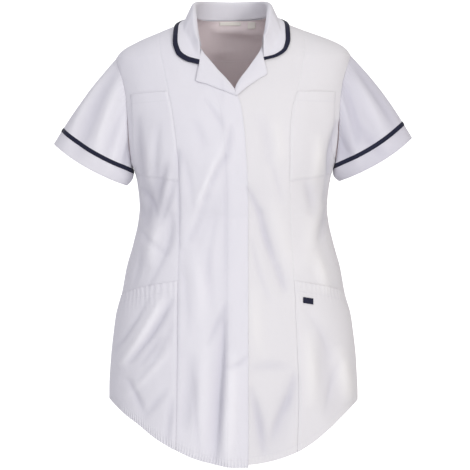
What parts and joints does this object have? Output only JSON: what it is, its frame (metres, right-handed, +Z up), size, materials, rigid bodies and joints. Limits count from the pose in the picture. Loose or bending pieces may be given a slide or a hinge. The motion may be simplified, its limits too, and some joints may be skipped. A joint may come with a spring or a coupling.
{
  "type": "maternity nurse tunic",
  "caption": "White maternity nurse tunic in worn form: hollow torso, short sleeves, navy-edged revere collar, princess seams, chest and hip pockets, curved hem.",
  "frame": {"origin": "between the two points where the neck meets the shoulders, in the middle of the shoulder ridge's depth", "axes": "+Z up, -Y the front, +X the wearer's left"},
  "size_m": [0.646, 0.265, 0.8277],
  "materials": {
    "white_cloth": "plain woven polycotton",
    "navy_trim": "woven trim",
    "navy_tag": "woven tag, bare",
    "cream_label": "satin label, bare"
  },
  "bodies": {
    "root": {"front_right": "white_cloth", "front_left": "white_cloth", "side_front_right": "white_cloth", "side_front_left": "white_cloth", "back": "white_cloth", "back_yoke": "white_cloth", "sleeve_right": "white_cloth", "sleeve_left": "white_cloth", "cuff_right": "white_cloth", "cuff_left": "white_cloth", "collar": "white_cloth", "lapel_right": "white_cloth", "lapel_left": "white_cloth", "chest_pocket_right": "white_cloth", "chest_pocket_left": "white_cloth", "hip_pocket_right": "white_cloth", "hip_pocket_left": "white_cloth", "sleeve_piping_right": "navy_trim", "sleeve_piping_left": "navy_trim", "collar_piping": "navy_trim", "pocket_tag": "navy_tag", "neck_label": "cream_label", "size_label": "cream_label"}
  },
  "joints": []
}
